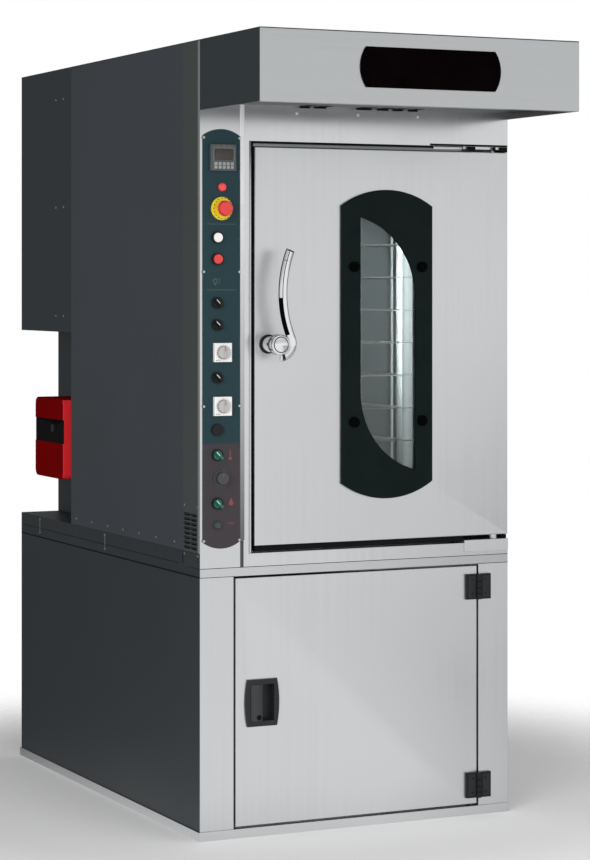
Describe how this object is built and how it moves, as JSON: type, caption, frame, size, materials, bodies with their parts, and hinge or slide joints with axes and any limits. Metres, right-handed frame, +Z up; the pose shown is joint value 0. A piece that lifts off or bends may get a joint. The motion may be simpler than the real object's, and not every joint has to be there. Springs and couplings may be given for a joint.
{
  "type": "bakery oven",
  "caption": "Upright rotating-rack bakery oven with hood, side burner, pivoted glazed door with lever handle, tall control panel, and a proving cabinet as its base.",
  "frame": {"origin": "centre of the base's footprint, on the floor", "axes": "+Z up; the front with the doors faces -Y; +X to the right seen from the front, towards the hinges"},
  "size_m": [1.008, 1.912, 2.288],
  "materials": {
    "stainless": "satin brushed stainless sheet",
    "dark_paint": "dark slate grey painted sheet",
    "chrome": "polished chrome",
    "black_plastic": "matt black moulding",
    "black_glass": "glossy black enamelled glass",
    "sign_black": "bare glossy black acrylic",
    "panel_print": "dark teal printed foil, maroon below",
    "white_plastic": "white moulding",
    "red_plastic": "red moulding",
    "red_lens": "red lens",
    "yellow_plastic": "yellow moulding",
    "green_plastic": "green moulding",
    "grey_plastic": "grey moulding",
    "clear_glass": "clear glass",
    "lamp_glass": "frosted lamp glass",
    "seal_rubber": "black silicone seal",
    "burner_red": "gloss red enamel",
    "tray_aluminium": "plain aluminium sheet",
    "heat_steel": "heat-stained steel",
    "motor_grey": "grey enamel",
    "mineral_wool": "mineral wool"
  },
  "bodies": {
    "carcass": {"base_pan": "stainless", "base_shell": "dark_paint", "base_front_frame": "stainless", "tray_runners": "stainless", "prover_heater": "heat_steel", "base_hinge_fixed": "black_plastic", "under_frame": "dark_paint", "oven_side_left": "dark_paint", "oven_side_right": "dark_paint", "service_panel": "dark_paint", "oven_roof": "dark_paint", "control_column": "stainless", "front_frame": "stainless", "door_pivots": "stainless", "hood_fascia": "stainless", "hood_cheeks": "dark_paint", "hood_baffle": "stainless", "sign_plate": "sign_black", "chamber_liner": "stainless", "chamber_insulation": "mineral_wool", "air_diffuser": "stainless", "chamber_lamp": "lamp_glass", "drive_motors": "motor_grey", "rear_housing": "dark_paint", "rear_cover": "dark_paint", "heat_exchanger": "heat_steel", "burner_unit": "burner_red", "control_panel_plate": "panel_print", "temperature_controller": "black_plastic", "pilot_lamps": "red_lens", "estop_collar": "yellow_plastic", "switch_bezels": "black_plastic", "timer_frames": "white_plastic"},
    "oven_door": {"oven_door_skin": "stainless", "oven_door_core": "stainless", "oven_door_gasket": "seal_rubber", "window_bezel": "black_glass", "window_panes": "clear_glass", "glass_buttons": "black_plastic"},
    "handle": {"door_handle": "chrome"},
    "base_door": {"base_door_leaf": "stainless", "base_door_gasket": "seal_rubber", "base_hinge_moving": "black_plastic", "latch_housing": "black_plastic"},
    "latch": {"latch_paddle": "black_plastic"},
    "rack": {"rack_frame": "stainless", "baking_trays": "tray_aluminium"},
    "fan": {"fan_wheel": "stainless"},
    "estop": {"estop_button": "red_plastic"},
    "start": {"start_button": "white_plastic"},
    "stop": {"stop_button": "red_plastic"},
    "light_switch": {"light_selector": "black_plastic"},
    "steam_switch": {"steam_selector": "black_plastic"},
    "fan_switch": {"fan_selector": "black_plastic"},
    "prover_switch": {"prover_selector": "green_plastic"},
    "humidity_switch": {"humidity_selector": "green_plastic"},
    "bake_timer": {"bake_timer_dial": "grey_plastic"},
    "steam_timer": {"steam_timer_dial": "grey_plastic"},
    "thermostat": {"thermostat_knob": "black_plastic"},
    "burner_reset": {"burner_reset_button": "black_plastic"}
  },
  "joints": [
    {"name": "oven_door_hinge", "type": "hinge", "parent": "carcass", "child": "oven_door", "pos_m": [0.464, -0.722, 1.3955], "axis": [0, 0, 1], "range_deg": [0, 110]},
    {"name": "handle_turn", "type": "hinge", "parent": "oven_door", "child": "handle", "pos_m": [-0.288, -0.79, 1.401], "axis": [0, 1, 0], "range_deg": [0, 90]},
    {"name": "base_door_hinge", "type": "hinge", "parent": "carcass", "child": "base_door", "pos_m": [0.397, -0.758, 0.3845], "axis": [0, 0, 1], "range_deg": [0, 165]},
    {"name": "latch_pull", "type": "hinge", "parent": "base_door", "child": "latch", "pos_m": [-0.3403, -0.7515, 0.38], "axis": [0, 0, -1], "range_deg": [0, 40], "stiffness_Nm_per_rad": 0.3},
    {"name": "rack_spin", "type": "hinge", "parent": "carcass", "child": "rack", "pos_m": [0.068, -0.281, 1.4], "axis": [0, 0, 1], "continuous": true},
    {"name": "fan_spin", "type": "hinge", "parent": "carcass", "child": "fan", "pos_m": [0.068, 0.2, 1.56], "axis": [0, 1, 0], "continuous": true},
    {"name": "estop_push", "type": "slide", "parent": "carcass", "child": "estop", "axis": [0, 1, 0], "range_m": [0, 0.006]},
    {"name": "start_push", "type": "slide", "parent": "carcass", "child": "start", "axis": [0, 1, 0], "range_m": [0, 0.004], "stiffness_N_per_m": 300},
    {"name": "stop_push", "type": "slide", "parent": "carcass", "child": "stop", "axis": [0, 1, 0], "range_m": [0, 0.004], "stiffness_N_per_m": 300},
    {"name": "light_turn", "type": "hinge", "parent": "carcass", "child": "light_switch", "pos_m": [-0.4485, -0.76, 1.519], "axis": [0, 1, 0], "range_deg": [0, 90]},
    {"name": "steam_turn", "type": "hinge", "parent": "carcass", "child": "steam_switch", "pos_m": [-0.4485, -0.76, 1.457], "axis": [0, 1, 0], "range_deg": [0, 90]},
    {"name": "fan_turn", "type": "hinge", "parent": "carcass", "child": "fan_switch", "pos_m": [-0.4485, -0.76, 1.308], "axis": [0, 1, 0], "range_deg": [0, 90]},
    {"name": "prover_turn", "type": "hinge", "parent": "carcass", "child": "prover_switch", "pos_m": [-0.4485, -0.76, 1.089], "axis": [0, 1, 0], "range_deg": [0, 90]},
    {"name": "humidity_turn", "type": "hinge", "parent": "carcass", "child": "humidity_switch", "pos_m": [-0.4485, -0.76, 0.952], "axis": [0, 1, 0], "range_deg": [0, 90]},
    {"name": "bake_timer_turn", "type": "hinge", "parent": "carcass", "child": "bake_timer", "pos_m": [-0.434, -0.765, 1.379], "axis": [0, 1, 0], "range_deg": [0, 300]},
    {"name": "steam_timer_turn", "type": "hinge", "parent": "carcass", "child": "steam_timer", "pos_m": [-0.434, -0.765, 1.227], "axis": [0, 1, 0], "range_deg": [0, 300]},
    {"name": "thermostat_turn", "type": "hinge", "parent": "carcass", "child": "thermostat", "pos_m": [-0.438, -0.76, 1.024], "axis": [0, 1, 0], "range_deg": [0, 300]},
    {"name": "burner_reset_push", "type": "slide", "parent": "carcass", "child": "burner_reset", "axis": [1, 0, 0], "range_m": [0, 0.004], "stiffness_N_per_m": 300}
  ]
}
